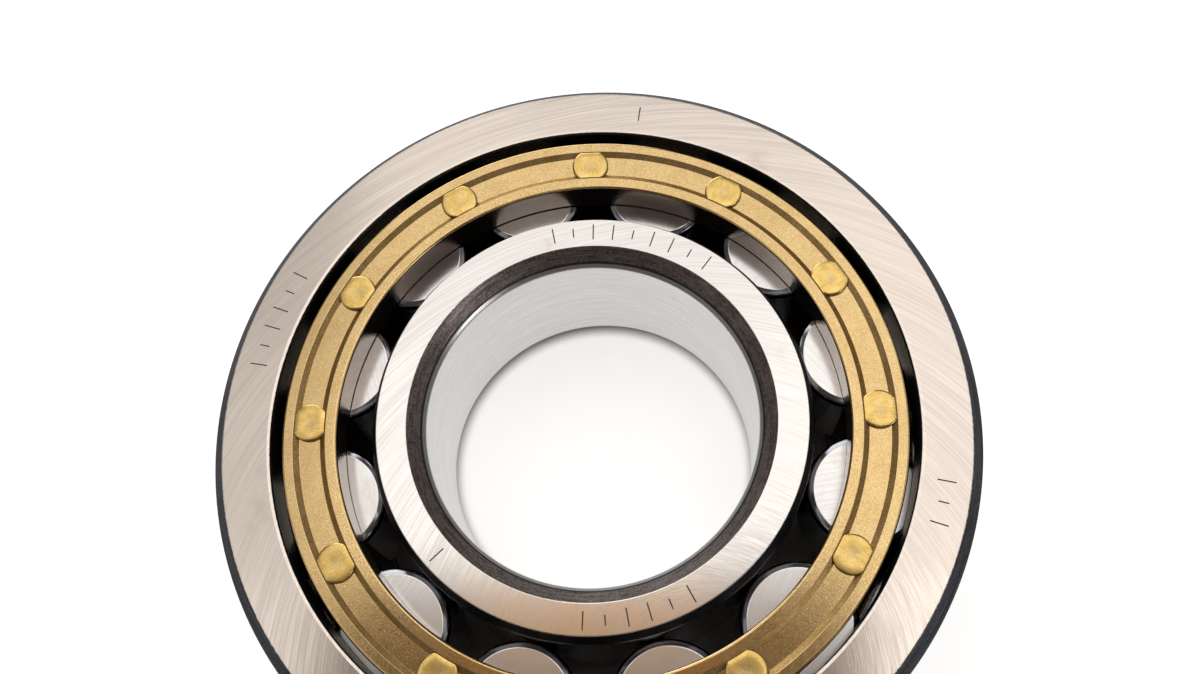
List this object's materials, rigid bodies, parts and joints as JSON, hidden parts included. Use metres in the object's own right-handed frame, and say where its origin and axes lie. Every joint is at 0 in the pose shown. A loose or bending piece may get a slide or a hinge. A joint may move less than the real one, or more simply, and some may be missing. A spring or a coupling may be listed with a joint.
{
  "type": "cylindrical roller bearing",
  "caption": "Single-row cylindrical roller bearing: flanged outer ring, plain removable inner ring, rollers in a two-piece riveted brass cage.",
  "frame": {"origin": "on the bearing's axis, at mid-width", "axes": "+Z along the bearing's axis, towards the face where the cage's rivet heads show; +X through the axis of roller_01"},
  "size_m": [0.08, 0.08, 0.021],
  "materials": {
    "ring_steel": "ground side faces, dark turned chamfers",
    "roller_steel": "ground ends, polished rims",
    "cage_brass": "tumbled matt, fine grain",
    "rivet_brass": "pressed flat, satin"
  },
  "bodies": {
    "outer_ring": {"outer_ring": "ring_steel"},
    "inner_ring": {"inner_ring": "ring_steel"},
    "cage": {"cage_body": "cage_brass", "cage_cover": "cage_brass", "rivet_01": "rivet_brass", "rivet_02": "rivet_brass", "rivet_03": "rivet_brass", "rivet_04": "rivet_brass", "rivet_05": "rivet_brass", "rivet_06": "rivet_brass", "rivet_07": "rivet_brass", "rivet_08": "rivet_brass", "rivet_09": "rivet_brass", "rivet_10": "rivet_brass", "rivet_11": "rivet_brass", "rivet_12": "rivet_brass"},
    "roller_01": {"roller_01": "roller_steel"},
    "roller_02": {"roller_02": "roller_steel"},
    "roller_03": {"roller_03": "roller_steel"},
    "roller_04": {"roller_04": "roller_steel"},
    "roller_05": {"roller_05": "roller_steel"},
    "roller_06": {"roller_06": "roller_steel"},
    "roller_07": {"roller_07": "roller_steel"},
    "roller_08": {"roller_08": "roller_steel"},
    "roller_09": {"roller_09": "roller_steel"},
    "roller_10": {"roller_10": "roller_steel"},
    "roller_11": {"roller_11": "roller_steel"},
    "roller_12": {"roller_12": "roller_steel"}
  },
  "joints": [
    {"name": "inner_spin", "type": "hinge", "parent": "outer_ring", "child": "inner_ring", "pos_m": [0, 0, 0], "axis": [0, 0, 1], "continuous": true},
    {"name": "cage_spin", "type": "hinge", "parent": "outer_ring", "child": "cage", "pos_m": [0, 0, 0], "axis": [0, 0, 1], "continuous": true},
    {"name": "roller_01_spin", "type": "hinge", "parent": "cage", "child": "roller_01", "pos_m": [0.02911, 0, 0], "axis": [0, 0, 1], "continuous": true},
    {"name": "roller_02_spin", "type": "hinge", "parent": "cage", "child": "roller_02", "pos_m": [0.02521, 0.01456, 0], "axis": [0, 0, 1], "continuous": true},
    {"name": "roller_03_spin", "type": "hinge", "parent": "cage", "child": "roller_03", "pos_m": [0.01456, 0.02521, 0], "axis": [0, 0, 1], "continuous": true},
    {"name": "roller_04_spin", "type": "hinge", "parent": "cage", "child": "roller_04", "pos_m": [0, 0.02911, 0], "axis": [0, 0, 1], "continuous": true},
    {"name": "roller_05_spin", "type": "hinge", "parent": "cage", "child": "roller_05", "pos_m": [-0.01456, 0.02521, 0], "axis": [0, 0, 1], "continuous": true},
    {"name": "roller_06_spin", "type": "hinge", "parent": "cage", "child": "roller_06", "pos_m": [-0.02521, 0.01456, 0], "axis": [0, 0, 1], "continuous": true},
    {"name": "roller_07_spin", "type": "hinge", "parent": "cage", "child": "roller_07", "pos_m": [-0.02911, 0, 0], "axis": [0, 0, 1], "continuous": true},
    {"name": "roller_08_spin", "type": "hinge", "parent": "cage", "child": "roller_08", "pos_m": [-0.02521, -0.01456, 0], "axis": [0, 0, 1], "continuous": true},
    {"name": "roller_09_spin", "type": "hinge", "parent": "cage", "child": "roller_09", "pos_m": [-0.01456, -0.02521, 0], "axis": [0, 0, 1], "continuous": true},
    {"name": "roller_10_spin", "type": "hinge", "parent": "cage", "child": "roller_10", "pos_m": [0, -0.02911, 0], "axis": [0, 0, 1], "continuous": true},
    {"name": "roller_11_spin", "type": "hinge", "parent": "cage", "child": "roller_11", "pos_m": [0.01456, -0.02521, 0], "axis": [0, 0, 1], "continuous": true},
    {"name": "roller_12_spin", "type": "hinge", "parent": "cage", "child": "roller_12", "pos_m": [0.02521, -0.01456, 0], "axis": [0, 0, 1], "continuous": true}
  ],
  "couplings": [
    {"joint": "cage_spin", "follows": "inner_spin", "ratio": 0.3967},
    {"joint": "roller_01_spin", "follows": "inner_spin", "ratio": -2.3227},
    {"joint": "roller_02_spin", "follows": "inner_spin", "ratio": -2.3227},
    {"joint": "roller_03_spin", "follows": "inner_spin", "ratio": -2.3227},
    {"joint": "roller_04_spin", "follows": "inner_spin", "ratio": -2.3227},
    {"joint": "roller_05_spin", "follows": "inner_spin", "ratio": -2.3227},
    {"joint": "roller_06_spin", "follows": "inner_spin", "ratio": -2.3227},
    {"joint": "roller_07_spin", "follows": "inner_spin", "ratio": -2.3227},
    {"joint": "roller_08_spin", "follows": "inner_spin", "ratio": -2.3227},
    {"joint": "roller_09_spin", "follows": "inner_spin", "ratio": -2.3227},
    {"joint": "roller_10_spin", "follows": "inner_spin", "ratio": -2.3227},
    {"joint": "roller_11_spin", "follows": "inner_spin", "ratio": -2.3227},
    {"joint": "roller_12_spin", "follows": "inner_spin", "ratio": -2.3227}
  ]
}
